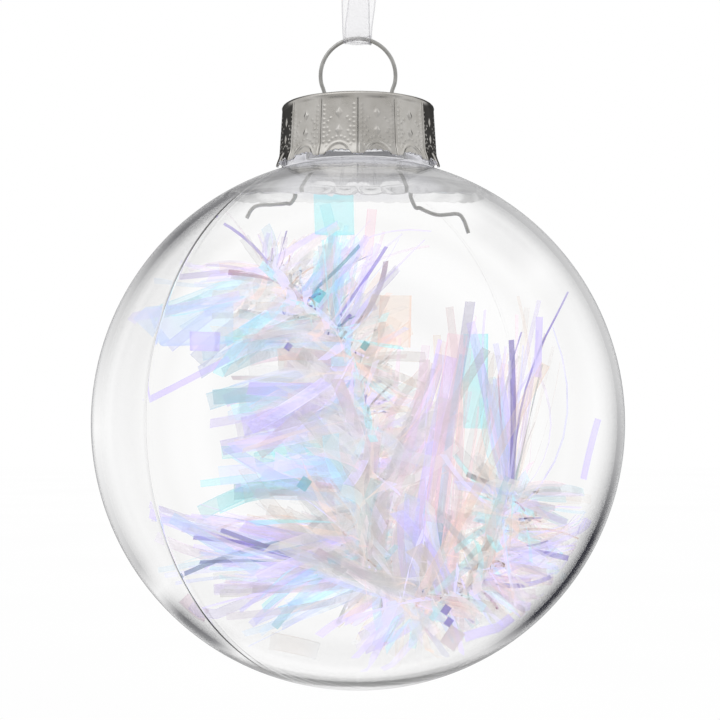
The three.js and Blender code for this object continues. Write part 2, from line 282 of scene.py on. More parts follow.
def mottle(tree, place_in, scale, detail, distortion=0.0):
    return add(tree, "TexNoise", Vector=place_in, Scale=scale, Detail=detail,
               Distortion=distortion).outputs["Fac"]


def bump(tree, height, strength, distance):
    return add(tree, "Bump", Strength=strength, Distance=distance, Height=height).outputs["Normal"]


def steepness(tree):
    """0 where a surface faces the viewer and 1 where it is seen edge on."""
    return add(tree, "LayerWeight", Blend=0.5).outputs["Facing"]


def from_middle(tree, across):
    """0 at the middle of a strip's width and 1 at its edges."""
    return maths(tree, "ABSOLUTE", maths(tree, "MULTIPLY_ADD", across, 2.0, -1.0))


def finish_surface(tree, shader):
    add(tree, "OutputMaterial", Surface=shader.outputs[0])


def studio_light(tree, direction, with_dark_edges=True):
    """The studio's brightness in a direction given in the camera's own space.

    A white sweep stands behind the object and the room is dark beyond its edges. How dark depends on the
    side: most to the lower right, much overhead and to the left above and below, and not at all straight
    below. The film's painted reflection, which mirrors every side at once, is worked out without the dark
    edges.
    """
    unit = add(tree, "VectorMath", {"operation": "NORMALIZE"}, i0=direction).outputs["Vector"]
    right, up, ahead = add(tree, "SeparateXYZ", Vector=unit).outputs
    off_axis = maths(tree, "DIVIDE", maths(tree, "ARCCOSINE", ahead), math.pi)
    about_axis = maths(tree, "DIVIDE", maths(tree, "ARCTAN2", up, right), TAU)
    about_axis = maths(tree, "ADD", about_axis, 0.5)
    room = ramp(tree, off_axis, [
        (0.0, 1.0), (0.34, 1.0), (0.4, (0.7, 0.695, 0.68)), (0.5, (0.64, 0.63, 0.615)), (0.55, 1.0),
        (0.6, 1.0), (0.66, 0.4), (0.7, 0.4), (0.76, (0.72, 0.71, 0.7)), (1.0, (0.68, 0.67, 0.66)),
    ])
    beyond = ramp(tree, off_axis, [(0.1, 0.0), (0.13, 1.0), (0.26, 1.0), (0.33, 0.0)])
    side = ramp(tree, about_axis, [
        (0.0, 0.04), (0.06, 0.3), (0.09, 0.45), (0.11, 0.1), (0.13, 0.85), (0.155, 0.8), (0.175, 0.05),
        (0.25, 0.0), (0.33, 0.3), (0.37, 1.0), (0.43, 1.0), (0.48, 0.6), (0.53, 0.42), (0.58, 0.42),
        (0.66, 0.5), (0.75, 0.7), (0.87, 0.85), (0.92, 0.4), (1.0, 0.04),
    ])
    darkness = maths(tree, "MULTIPLY", beyond, side) if with_dark_edges else 0.0
    seen = mix(tree, darkness, room, (0.04, 0.04, 0.05))
    above = remap(tree, up, 0.3, 0.6, 1.0, 1.25)
    below = remap(tree, up, -0.5, -0.2, 0.8, 1.0)
    aside = remap(tree, off_axis, 0.33, 0.42, smooth=False)
    tilt = maths(tree, "MULTIPLY_ADD", maths(tree, "MULTIPLY_ADD", above, below, -1.0), aside, 1.0)
    return add(tree, "VectorMath", {"operation": "SCALE"}, i0=seen, Scale=tilt).outputs["Vector"]


# ---------------------------------------------------------------- materials

def clear_plastic():
    """Clear moulded plastic, with painted light: a grey glow in the hazy shoulder and a dark outline edge
    on.

    Light crosses the bonded seam faces straight, as do shadow rays everywhere.
    """
    material, tree = new_material("clear_plastic")
    place_in = own_place(tree)
    height = add(tree, "SeparateXYZ", Vector=place_in).outputs["Z"]
    steep = steepness(tree)
    shoulder = attribute(tree, "shoulder")
    scuffs = mottle(tree, place_in, 400.0, 3.0)
    flattened = add(tree, "Mapping", Vector=place_in)
    flattened.inputs["Scale"].default_value = (0.4, 0.4, 6.0)
    streaks = mottle(tree, flattened.outputs[0], 70.0, 3.0, 0.6)
    wisps = mottle(tree, flattened.outputs[0], 120.0, 3.0, 0.4)
    cloudy = ramp(tree, streaks, [(0.35, (0.84, 0.84, 0.85)), (0.65, 0.97)])
    clear = add(tree, "BsdfPrincipled", Base_Color=mix(tree, shoulder, (1, 1, 1), cloudy), IOR=1.49,
                Transmission_Weight=1.0, Roughness=remap(tree, scuffs, 0.6, 0.9, 0.0, 0.05, smooth=False),
                Normal=bump(tree, mottle(tree, place_in, 38.0, 1.0), 0.05, 0.0004))

    # Painted light: the shoulder's haze is real, but its brightness is painted as a grey emission, paler
    # above the neck's foot and lit by no lamp.
    painted_haze_glow = ramp(tree, wisps, [(0.38, 0.3), (0.5, 0.5), (0.62, 0.82)])
    neck_foot = remap(tree, height, (BALL_RADIUS + 35.9) * MM, (BALL_RADIUS + 36.9) * MM)
    painted_haze_shader = add(tree, "Emission", Color=mix(tree, neck_foot, painted_haze_glow, (0.74, 0.74, 0.78)))
    hazy = remap(tree, streaks, 0.35, 0.65, 0.8, 0.52, smooth=False)
    depth = remap(tree, steep, 0.1, 0.6, 0.2, 1.0, smooth=False)
    hazy = maths(tree, "MULTIPLY", hazy, maths(tree, "MULTIPLY", depth, shoulder))
    clear = mix_shaders(tree, hazy, clear, painted_haze_shader)

    light_path = add(tree, "LightPath").outputs
    # Painted shade: a dark outline, for camera rays only, where the plastic is seen edge on and fainter near
    # the bottom, standing in for the dark room seen through the wall there.
    outline = maths(tree, "MULTIPLY", remap(tree, steep, 0.82, 0.97, 0.0, 0.7), light_path["Is Camera Ray"])
    off_bottom = remap(tree, height, 0.4 * MM, 4 * MM, 0.3, 1.0)
    outline = maths(tree, "MULTIPLY", outline, off_bottom)
    clear = mix_shaders(tree, outline, clear, add(tree, "BsdfDiffuse", Color=(0.2, 0.2, 0.21, 1)))

    straight = maths(tree, "MAXIMUM", attribute(tree, "bonded"), light_path["Is Shadow Ray"])
    finish_surface(tree, mix_shaders(tree, straight, clear, add(tree, "BsdfTransparent")))
    return material


def pressed_metal():
    """Bright pressed cap metal with fine grain and faint smears; painted light makes the inside brighter.

    "side" is 1 on the skirt's outside, with a painted dark reflection when seen at a steep angle, and -1
    inside.
    """
    material, tree = new_material("pressed_metal")
    place_in = own_place(tree)
    smears = add(tree, "TexNoise", Vector=place_in, Scale=320.0, Detail=4.0, Roughness=0.6).outputs["Fac"]
    side = attribute(tree, "side")
    colour = ramp(tree, smears, [(0.3, (0.50, 0.485, 0.455)), (0.7, (0.64, 0.625, 0.60))])
    # Painted shade: the skirt's outside is darkened towards black where it is seen at a steep angle, as a
    # painted dark reflection.
    steep = maths(tree, "MULTIPLY", remap(tree, steepness(tree), 0.46, 0.62, 0.0, 0.85), side, clamp=True)
    colour = mix(tree, steep, colour, (0.05, 0.05, 0.049))
    # Painted light: the cap's inside is painted near white, standing in for light reaching it.
    inside = maths(tree, "MULTIPLY", side, -1.0, clamp=True)
    colour = mix(tree, inside, colour, (0.94, 0.94, 0.96))
    metal = add(tree, "BsdfPrincipled", Base_Color=colour, Metallic=1.0,
                Roughness=remap(tree, smears, 0.3, 0.75, 0.24, 0.38, smooth=False),
                Normal=bump(tree, mottle(tree, place_in, 3200.0, 2.0), 0.25, 0.00004))
    metal.inputs["Specular Tint"].default_value = (0.3, 0.3, 0.3, 1)
    finish_surface(tree, metal)
    return material


def drawn_wire():
    """Plated spring wire: greyer than the cap, with faint drawing marks."""
    material, tree = new_material("drawn_wire")
    marks = mottle(tree, own_place(tree), 900.0, 3.0)
    colour = ramp(tree, marks, [(0.3, (0.36, 0.36, 0.35)), (0.7, (0.5, 0.5, 0.485))])
    finish_surface(tree, add(tree, "BsdfPrincipled", Base_Color=colour, Metallic=1.0, Roughness=0.3,
                             Normal=bump(tree, marks, 0.3, 0.00003)))
    return material


def organza():
    """Sheer woven ribbon: an open mesh of fine threads, with a closer selvedge along each edge."""
    material, tree = new_material("organza")
    across = attribute(tree, "across")
    threads = []
    for coordinate, count in ((across, 22.0), (attribute(tree, "along"), 5.2)):
        wave = maths(tree, "SINE", maths(tree, "MULTIPLY", coordinate, TAU * count))
        threads.append(maths(tree, "MULTIPLY_ADD", wave, 0.5, 0.5))
    weave = maths(tree, "POWER", maths(tree, "MAXIMUM", *threads), 2.0)
    selvedge = remap(tree, from_middle(tree, across), 0.86, 0.95)
    body = maths(tree, "MULTIPLY_ADD", weave, 0.16, 0.06)
    cover = maths(tree, "ADD", body, maths(tree, "MULTIPLY", selvedge, 0.22), clamp=True)
    thread = ramp(tree, selvedge, [(0.0, (0.86, 0.85, 0.88)), (1.0, (0.62, 0.61, 0.64))])
    sheen = add(tree, "BsdfGlossy", Color=(0.9, 0.9, 0.92, 1), Roughness=0.35)
    cloth = mix_shaders(tree, 0.5, add(tree, "BsdfDiffuse", Color=thread),
                        add(tree, "BsdfTranslucent", Color=thread))
    cloth = mix_shaders(tree, 0.15, cloth, sheen)
    finish_surface(tree, mix_shaders(tree, cover, add(tree, "BsdfTransparent"), cloth))
    return material


# Places on the film's colour ramp, and the light that one layer lets through there.
WHITE, PEACH, PINK, LAVENDER, VIOLET, BLUE, AQUA, MAUVE = 0.0, 0.13, 0.26, 0.38, 0.5, 0.63, 0.76, 0.92
THROUGH_WHITE = (0.875, 0.88, 0.885)
THROUGH_MAUVE = (0.62, 0.52, 0.58)
THROUGH_FILM = [
    (WHITE, THROUGH_WHITE), (PEACH, (0.94, 0.885, 0.845)), (PINK, (0.93, 0.845, 0.885)),
    (LAVENDER, (0.83, 0.812, 0.912)), (VIOLET, (0.62, 0.545, 0.85)), (BLUE, (0.80, 0.86, 0.928)),
    (AQUA, (0.69, 0.91, 0.925)), (0.885, THROUGH_WHITE), (0.91, THROUGH_MAUVE), (0.93, THROUGH_MAUVE),
    (0.955, THROUGH_WHITE),
]
LAST_BOUNCE = 3.5  # light that has bounced more often than this crosses the film unchanged


def iridescent_film(name, strength, pearl_share):
    """Thin clear film that tints the light it lets through, with a painted pale reflection for the rest.

    Each strip's "tint" is its place on the colour ramp, which shifts as the strip turns and drifts along it.
    "across" runs over its width from 0 to 1, "folded" is how many more layers it lies in, and "crumpled"
    strips have dark specks; folded strips and specks also get less painted reflection, as painted shade. The
    film is deeper towards its cut edges and where it is seen at a slant. Up to pearl_share of its light is
    kept back whatever the tint, by a share of each strip's own. The sheen is a painted reflection: an
    emission of the studio's light, worked out here from the direction mirrored, so that many layers stay
    crisp.
    """
    material, tree = new_material(name)
    place_in = own_place(tree)
    folded = attribute(tree, "folded")
    turned = maths(tree, "POWER", steepness(tree), 2.0)
    drift = maths(tree, "MULTIPLY_ADD", mottle(tree, place_in, 140.0, 1.0), 0.16, -0.08)
    phase = maths(tree, "ADD", attribute(tree, "tint"), drift)
    phase = maths(tree, "FRACT", maths(tree, "MULTIPLY_ADD", turned, 0.12, phase))
    colour = ramp(tree, phase, THROUGH_FILM)

    cut_edge = remap(tree, from_middle(tree, attribute(tree, "across")), 0.8, 1.0, 0.0, 1.8)
    speck = maths(tree, "GREATER_THAN", mottle(tree, place_in, 1500.0, 1.0), 0.64)
    speck = maths(tree, "MULTIPLY", speck, maths(tree, "MULTIPLY", attribute(tree, "crumpled"), 5.0))
    layers = maths(tree, "ADD", maths(tree, "MULTIPLY_ADD", turned, 2.2, cut_edge), speck)
    layers = maths(tree, "ADD", layers, folded)
    layers = maths(tree, "MULTIPLY_ADD", layers, strength, strength)
    deeper = add(tree, "Gamma", Color=colour, Gamma=layers).outputs[0]

    geometry = add(tree, "NewGeometry").outputs
    pearl = maths(tree, "POWER", geometry["Random Per Island"], 3.0)
    pearl = maths(tree, "MULTIPLY_ADD", pearl, pearl_share, 0.02)
    deeper = mix(tree, pearl, deeper, (0, 0, 0))
    bounced = maths(tree, "GREATER_THAN", add(tree, "LightPath").outputs["Ray Depth"], LAST_BOUNCE)
    clear = maths(tree, "MAXIMUM", geometry["Backfacing"], bounced)
    passed = mix(tree, clear, deeper, (1, 1, 1))

    kept_back = add(tree, "RGBToBW", Color=add(tree, "Invert", Fac=1.0, Color=passed).outputs[0]).outputs[0]
    # Painted shade: folded strips and dark specks get less of the painted reflection.
    shade = maths(tree, "MULTIPLY_ADD", folded, 0.2, maths(tree, "MULTIPLY", speck, 0.16), clamp=True)
    painted_reflection_strength = maths(tree, "MULTIPLY", kept_back, maths(tree, "SUBTRACT", 1.0, shade))
    incoming = add(tree, "VectorMath", {"operation": "SCALE"}, i0=geometry["Incoming"],
                   Scale=-1.0).outputs["Vector"]
    crinkle = bump(tree, mottle(tree, place_in, 900.0, 2.0), 0.6, 0.0001)
    mirrored = add(tree, "VectorMath", {"operation": "REFLECT"}, i0=incoming, i1=crinkle).outputs["Vector"]
    seen = add(tree, "VectorTransform", {"vector_type": "VECTOR", "convert_from": "WORLD",
                                         "convert_to": "CAMERA"}, Vector=mirrored).outputs[0]
    # Painted reflection: the studio's light in the mirrored direction, given off as an emission.
    sheen = mix(tree, 0.4, studio_light(tree, seen, with_dark_edges=False), (0.64, 0.64, 0.67))
    passing = add(tree, "BsdfTransparent", Color=passed)
    painted_reflection = add(tree, "Emission", Color=sheen, Strength=painted_reflection_strength)
    finish_surface(tree, add(tree, "AddShader", i0=passing.outputs[0], i1=painted_reflection.outputs[0]))
    return material


def core_thread():
    """Nearly clear nylon thread with a fibrous surface."""
    material, tree = new_material("core_thread")
    fibres = mottle(tree, own_place(tree), 2500.0, 3.0)
    colour = ramp(tree, fibres, [(0.3, (0.8, 0.8, 0.84)), (0.7, (0.95, 0.95, 0.97))])
    fibre = add(tree, "BsdfTranslucent", Color=colour, Normal=bump(tree, fibres, 0.5, 0.00005))
    finish_surface(tree, mix_shaders(tree, 0.12, add(tree, "BsdfTransparent", Color=colour), fibre))
    return material


# ---------------------------------------------------------------- the ball

PROFILE_ROWS = 84  # of the ball's outline, from its lowest point to the neck's foot
HALF_STEPS = 180  # round half a turn
SHOULDER_HEIGHT = 34.6  # of the heavy shoulder's lower edge, on the neck's axis
SHOULDER_SLOPE = 0.152  # that edge lies lower at the front
SHOULDER_STEP = 0.3  # how much thicker the wall is above it
SHOULDER_ROWS = 12
SHOULDER_STEP_WIDTH = 0.006  # of the slope between the two thicknesses, in radians
SHOULDER_LOBES = 18  # of its ragged edge, in half a turn
LOBE_DEPTH = 0.016  # in radians
BASE_THICKENING = 0.25
SEAM_GAP = 0.01  # left between the halves
SEAM_GROOVE_WIDTH = 0.15


def outer_profile():
    """The outer outline as (radius, height), from the ball's lowest point to the neck's top."""
    bead_z = math.sqrt(BALL_RADIUS ** 2 - BEAD_RADIUS ** 2)
    bead_top = bead_z + 0.3
    end = math.asin(bead_z / BALL_RADIUS)
    outline = [arc(BALL_RADIUS, -math.pi / 2 + (end + math.pi / 2) * i / PROFILE_ROWS)
               for i in range(PROFILE_ROWS + 1)]
    outline[0] = (0.0, -BALL_RADIUS)
    return outline + [
        (BEAD_RADIUS + 0.05, bead_z + 0.12), (BEAD_RADIUS, bead_top), (NECK_RADIUS + 0.15, bead_top + 0.05),
        (NECK_RADIUS, bead_top + 0.2), (NECK_RADIUS, shell_top - 0.25), (NECK_RADIUS - 0.2, shell_top),
    ]


def shoulder_edge(angle):
    """How high up the inside the shoulder's ragged edge lies, in radians, at an angle round the neck.

    The edge lies in a tilted plane and hangs down in shallow lobes with small points between them.
    """
    slope = SHOULDER_SLOPE * math.sin(angle)
    level = SHOULDER_HEIGHT / INNER_RADIUS / math.hypot(1, slope)
    lobe = abs(math.sin(angle * SHOULDER_LOBES + 0.9 * math.sin(angle * 4)))
    hang = LOBE_DEPTH * math.sqrt(lobe) * (1 + 0.4 * math.sin(angle * 7))
    return math.asin(level) + math.atan(slope) - hang


def inner_profile(angle):
    """The inner outline at an angle round the neck, with as many places as the outer one.

    The wall is thicker at the bottom, where the moulding was gated, and above the shoulder's edge.
    """
    edge = shoulder_edge(angle)
    neck_inner = NECK_RADIUS - WALL
    shoulder_radius = INNER_RADIUS - SHOULDER_STEP
    end = math.acos(neck_inner / shoulder_radius)
    below = PROFILE_ROWS - SHOULDER_ROWS
    outline = []
    for i in range(below + 1):
        share = i / below
        radius = INNER_RADIUS - BASE_THICKENING * smoothstep(0.24, 0.0, share)
        outline.append(arc(radius, -math.pi / 2 + (edge + math.pi / 2) * share))
    outline[0] = (0.0, outline[0][1])
    start = edge + SHOULDER_STEP_WIDTH
    for i in range(SHOULDER_ROWS):
        outline.append(arc(shoulder_radius, start + (end - start) * i / (SHOULDER_ROWS - 1)))
    foot = outline[-1][1]
    outline += [(neck_inner, foot + rise) for rise in (0.1, 0.25, 0.4, 0.6)]
    return outline + [(neck_inner, shell_top - 0.25), (neck_inner + 0.2, shell_top)]


def half_shell(name, start_angle, first_groove, last_groove):
    """Half of the ball and neck, turned from start_angle through half a turn, with flat seam faces.

    The two grooves are how deep the parting line is at the first edge and at the last. The points of the
    shoulder's inside are marked "shoulder" and the seam faces "bonded", for the plastic's material.
    """
    outer = outer_profile()
    rows = len(outer)
    groove_turn = SEAM_GROOVE_WIDTH / BALL_RADIUS
    turns = [math.pi * k / HALF_STEPS for k in range(1, HALF_STEPS)]
    turns = [0.0, groove_turn, *turns, math.pi - groove_turn, math.pi]
    columns = len(turns) - 1
    aside = Vector((-math.sin(start_angle), math.cos(start_angle), 0)) * SEAM_GAP
    points, faces, bonded, shoulder = [], [], [], []
    index = {}
    for k, turn in enumerate(turns):
        angle = start_angle + turn
        groove = {0: first_groove, columns: last_groove}.get(k, 0.0)
        for layer, outline in enumerate((outer, inner_profile(angle))):
            for i, (radius, height) in enumerate(outline):
                if i == 0 and k > 0:
                    index[layer, i, k] = index[layer, i, 0]
                    continue
                r = radius if layer else max(radius - groove, 0.0)
                index[layer, i, k] = len(points)
                points.append(Vector((*arc(r, angle), height)) + aside)
                shoulder.append(1.0 if layer and i > PROFILE_ROWS - SHOULDER_ROWS else 0.0)

    def quad(*corners, at_seam=0.0):
        """Adds a face between corners given as (layer, row, column), a triangle where two are one point."""
        distinct = list(dict.fromkeys(index[corner] for corner in corners))
        if len(distinct) > 2:
            faces.append(tuple(distinct))
            bonded.append(at_seam)

    for i in range(rows - 1):
        for k in range(columns):
            quad((0, i, k), (0, i, k + 1), (0, i + 1, k + 1), (0, i + 1, k))
            quad((1, i, k + 1), (1, i, k), (1, i + 1, k), (1, i + 1, k + 1))
        quad((0, i, 0), (0, i + 1, 0), (1, i + 1, 0), (1, i, 0), at_seam=1.0)
        quad((0, i + 1, columns), (0, i, columns), (1, i, columns), (1, i + 1, columns), at_seam=1.0)
    top = rows - 1
    for k in range(columns):
        quad((0, top, k), (0, top, k + 1), (1, top, k + 1), (1, top, k))
    half = to_mesh(name, points, faces, {"shoulder": shoulder}, smooth_angle=50)
    half.data.attributes.new("bonded", "FLOAT", "FACE").data.foreach_set("value", bonded)
    return half


def build_ball():
    """Both halves. Their parting line is deeper where it shows at the front than at the rear."""
    plastic = clear_plastic()
    plain, marked = 0.01, 0.045
    rear = half_shell("clear_half_rear_left", SEAM_ANGLE, plain, marked)
    place(rear, plastic, "shell_half_rear_left")
    front = half_shell("clear_half_front_right", SEAM_ANGLE + math.pi, marked, plain)
    place(front, plastic, "shell_half_front_right")


# ---------------------------------------------------------------- the cap

CAP_PANELS = 13
PANEL_COLUMNS = 56
CAP_COLUMNS = CAP_PANELS * PANEL_COLUMNS
SKIRT_ROWS = 74
HEM_RADIUS = (cap_high.x - cap_low.x) / 2
CAP_TOP_RADIUS = HEM_RADIUS - 0.85
CAP_HEIGHT = cap_high.z - cap_low.z
EDGE_ROUND = 0.6
PANEL_FLATNESS = 0.75  # 0 for a round skirt and 1 for flat panels
SKIRT_INSET = 0.06  # room within the cap's box for the embossing
TOP_INSET = 0.04
SHEET = 0.28
SLOT = (4.15, 5.85)  # from and to these distances from the middle
SLOT_HALF_ANGLE = math.radians(6.0)


def panel_dots():
    """Places of the raised dots on one panel, as (across from -1 to 1, height above the hem)."""
    dots = []
    for side in (-1, 1):
        dots += [(0.8 * side, 1.9 + 0.66 * i) for i in range(9)]
        dots += [(0.62 * side, 3.9), (0.5 * side, 3.35), (0.62 * side, 2.75)]
        dots += [(0.44 * side, 5.35), (0.58 * side, 4.85)]
        dots += [(0.72 * math.cos(a) * side, 0.25 + 2.35 * math.sin(a)) for a in (0.5, 0.8, 1.1, 1.4)]
    return dots


DOTS = panel_dots()


def embossing(across, rise):
    """How far the skirt stands out at a place on a panel."""
    relief = 0.0
    crease = 1 - abs(across)
    relief -= 0.16 * math.exp(-(crease / 0.035) ** 2)
    relief += 0.03 * math.exp(-((crease - 0.09) / 0.04) ** 2)
    for centre in (3.55, 6.1):
        diamond = 1 - abs(across) / 0.2 - abs(rise - centre) / 0.85
        if diamond > 0:
            relief += 0.2 * min(diamond, 0.72)
    for dot_across, dot_rise in DOTS:
        distance = ((across - dot_across) * 3.1) ** 2 + (rise - dot_rise) ** 2
        if distance < 0.25:
            relief += 0.1 * math.exp(-distance / 0.024)
    arch = math.hypot(across / 0.6, rise / 1.75)
    relief -= 0.1 * smoothstep(1.0, 0.82, arch)
    relief += 0.1 * math.exp(-((arch - 1.02) / 0.09) ** 2)
    lobe = smoothstep(0.95, 1.15, arch) * smoothstep(2.2, 0.0, rise)
    relief += 0.12 * lobe * lobe
    return relief


def hem_cut(across):
    """How far up the hem is cut away at a place across a panel: pointed teeth between shallow arches."""
    arch = 0.75 * math.sqrt(max(0.0, 1 - (across / 0.72) ** 2))
    return arch + 0.12 * abs(math.sin(across * 3 * math.pi)) - 0.1


def skirt_radius(share):
    """The smooth skirt's radius, from the hem at 0 to the top edge at 1."""
    return CAP_TOP_RADIUS + 0.55 * (1 - share) + 0.3 * smoothstep(0.22, 0.0, share)


def skirt_panel():
    """One panel's outside, row by row upwards, each row a list of (radius, height above the hem)."""
    skirt_top = CAP_HEIGHT - EDGE_ROUND
    rows = []
    for i in range(SKIRT_ROWS + 1):
        row = []
        share = i / SKIRT_ROWS
        fade = smoothstep(1.0, 0.93, share)
        for k in range(PANEL_COLUMNS):
            across = 2 * k / PANEL_COLUMNS - 1
            cut = hem_cut(across)
            rise = cut + (skirt_top - cut) * share
            polygon = math.cos(math.pi / CAP_PANELS) / math.cos(across * math.pi / CAP_PANELS)
            radius = skirt_radius(rise / skirt_top) * (1 + PANEL_FLATNESS * (polygon - 1) * fade)
            row.append((radius + fade * embossing(across, rise) - SKIRT_INSET, rise))
        rows.append(row)
    return rows


def top_outline():
    """The top as (radius, height over the box's top): round the edge, then in across a pressed step."""
    bends = [math.pi / 2 * j / 7 for j in range(1, 8)]
    rounded = [(CAP_TOP_RADIUS - EDGE_ROUND + EDGE_ROUND * math.cos(a), EDGE_ROUND * (math.sin(a) - 1))
               for a in bends]
    return rounded + [
        (9.6, 0.0), (9.3, -0.04), (9.0, -0.16), (8.6, -0.2), (7.4, -0.2), (SLOT[1], -0.2), (5.0, -0.2),
        (SLOT[0], -0.2), (3.3, -0.18), (2.6, -0.1), (1.9, -0.02), (1.0, 0.0),
    ]


def cap_ring(places):
    """Points round the cap from places given as (radius, height), in turn from a crease at the front."""
    return [Vector((*arc(radius, TAU * k / CAP_COLUMNS - math.pi / 2), height))
            for k, (radius, height) in enumerate(places)]


def mark_sides(cap):
    """Marks each face "side": 1 on the outside of the skirt, -1 inside the cap and 0 on its top."""
    sides = []
    for face in cap.data.polygons:
        outward = face.normal.x * face.center.x + face.normal.y * face.center.y
        if face.normal.z > 0.6:
            sides.append(0.0)
        else:
            sides.append(-1.0 if outward < 0 or face.normal.z < -0.9 else 1.0)
    cap.data.attributes.new("side", "FLOAT", "FACE").data.foreach_set("value", sides)


def build_cap():
    points, faces = [], []
    for row in skirt_panel():
        points += cap_ring([(radius, cap_low.z + rise) for radius, rise in row] * CAP_PANELS)
    outline = top_outline()
    for radius, drop in outline:
        ring = cap_ring([(radius, cap_high.z + drop - TOP_INSET)] * CAP_COLUMNS)
        for point in ring:
            point.z += 0.03 * noise.noise(Vector((point.x, point.y, 0)) * 0.35)
        points += ring
    slot_row = SKIRT_ROWS + 1 + outline.index((SLOT[1], -0.2))
    rows = SKIRT_ROWS + 1 + len(outline)
    for i in range(rows - 1):
        for k in range(CAP_COLUMNS):
            from_slot = TAU * (k + 0.5) / CAP_COLUMNS % math.pi - math.pi / 2
            if slot_row <= i <= slot_row + 1 and abs(from_slot) < SLOT_HALF_ANGLE:
                continue
            a, b = i * CAP_COLUMNS + k, i * CAP_COLUMNS + (k + 1) % CAP_COLUMNS
            faces.append((a, b, b + CAP_COLUMNS, a + CAP_COLUMNS))
    middle = len(points)
    points.append((0, 0, cap_high.z - TOP_INSET))
    last = (rows - 1) * CAP_COLUMNS
    for k in range(CAP_COLUMNS):
        faces.append((last + k, last + (k + 1) % CAP_COLUMNS, middle))
    cap = to_mesh("pressed_cap", points, faces, smooth_angle=60)
    thicken(cap, SHEET, -1)
    mark_sides(cap)
    place(cap, pressed_metal(), "cap")


# ---------------------------------------------------------------- the wire hanger

LEFT_WIRE_X = -4.9
RIGHT_WIRE_X = 5.2
LEG_OFFSET_Y = 0.5
LEG_TOP_GAP = 0.25  # room under the ring's ends for the legs to lean
# The legs from the front, as (x, z) from the top down.
RIGHT_LEG = [(5.3, 45), (5.5, 43.5), (8.3, 34.2), (9.6, 33), (12.2, 32), (15.2, 32.2), (16.2, 31.2),
             (16.9, 29.2)]
LEFT_LEG = [(-5.0, 45), (-5.3, 43.5), (-9.6, 34.6), (-11.2, 33.6), (-15, 33.4), (-16.2, 32.8), (-17, 31.4)]


def leg_path(name, start_x, outline, offset):
    """The middle of a leg's wire, which stands in front of the ring's plane or behind it."""
    top = box_mm(f"hanger_leg_{name}")[1].z - LEG_TOP_GAP
    return spline([(start_x, 0, top)] + [(x, offset, z) for x, z in outline], 120)


LEG_PATHS = {
    "right": leg_path("right", RIGHT_WIRE_X, RIGHT_LEG, LEG_OFFSET_Y),
    "left": leg_path("left", LEFT_WIRE_X, LEFT_LEG, -LEG_OFFSET_Y),
}


def wire_piece(name, path, material, node):
    points, faces = [], []
    tube(path, WIRE_RADIUS, 20, points, faces)
    place(to_mesh(name, points, faces), material, node)


def build_hanger():
    material = drawn_wire()
    ring_radius = (ring_high.x - ring_low.x) / 2 - WIRE_RADIUS
    ring_centre = ring_high.z - WIRE_RADIUS - ring_radius
    opening = math.radians(25)
    above_cap = cap_high.z + 0.9
    steps = 16
    outline = [(LEFT_WIRE_X, ring_low.z), (LEFT_WIRE_X, above_cap)]
    for i in range(steps + 1):
        x, z = arc(ring_radius, math.pi + opening - (math.pi + 2 * opening) * i / steps)
        outline.append((x, ring_centre + z))
    outline += [(RIGHT_WIRE_X, above_cap), (RIGHT_WIRE_X, ring_low.z)]
    wire_piece("hanger_ring_wire", spline([(x, 0, z) for x, z in outline], 200), material, "hanger_ring")
    for name, path in LEG_PATHS.items():
        wire_piece(f"hanger_leg_{name}_wire", path, material, f"hanger_leg_{name}")


# ---------------------------------------------------------------- the ribbon

def ribbon_strip(sheet, path, level, width_at, cup=0.25):
    """Adds an open sheet along a path to a mesh in the making. Level is the way its width runs."""
    points, faces, across, along = sheet
    columns = 14
    start = len(points)
    travelled = 0.0
    for i, (centre, forward) in enumerate(zip(path, tangents(path))):
        if i:
            travelled += (centre - path[i - 1]).length
        side = level - forward * forward.dot(level)
        side.normalize()
        out = side.cross(forward).normalized()
        for k in range(columns + 1):
            u = k / columns
            bow = cup * (1 - (2 * u - 1) ** 2) * math.sin(travelled * 0.11 + 0.6)
            points.append(centre + side * width_at(i / (len(path) - 1)) * (u - 0.5) + out * bow)
            across.append(u)
            along.append(travelled)
    for i in range(len(path) - 1):
        for k in range(columns):
            a = start + i * (columns + 1) + k
            faces.append((a, a + 1, a + columns + 2, a + columns + 1))


def ribbon_path(loop_top):
    """The ribbon's middle from the knot down its front, through the ring and up its back."""
    wire_z = ring_high.z - WIRE_RADIUS
    bight = 0.75
    front = [(-0.3, -bight - 0.15, wire_z + 2.0), (-0.45, -1.5, wire_z + 9), (-0.6, -2.5, wire_z + 22),
             (-0.3, -2.7, loop_top - 5), (0.0, -2.2, loop_top - 1.2), (0.0, -1.2, loop_top + 0.1)]
    back = [(0.1, bight + 0.15, wire_z + 2.0), (0.75, 1.5, wire_z + 8), (1.1, 2.5, wire_z + 20),
            (0.5, 2.7, loop_top - 5), (0.0, 2.2, loop_top - 1.2), (0.0, 1.2, loop_top + 0.1)]
    bend = []
    for i in range(9):
        y, z = arc(bight, math.pi + math.pi * i / 8)
        bend.append((-0.2 + 0.03 * i, y, wire_z + z))
    return spline(front[::-1] + bend + back, 200)


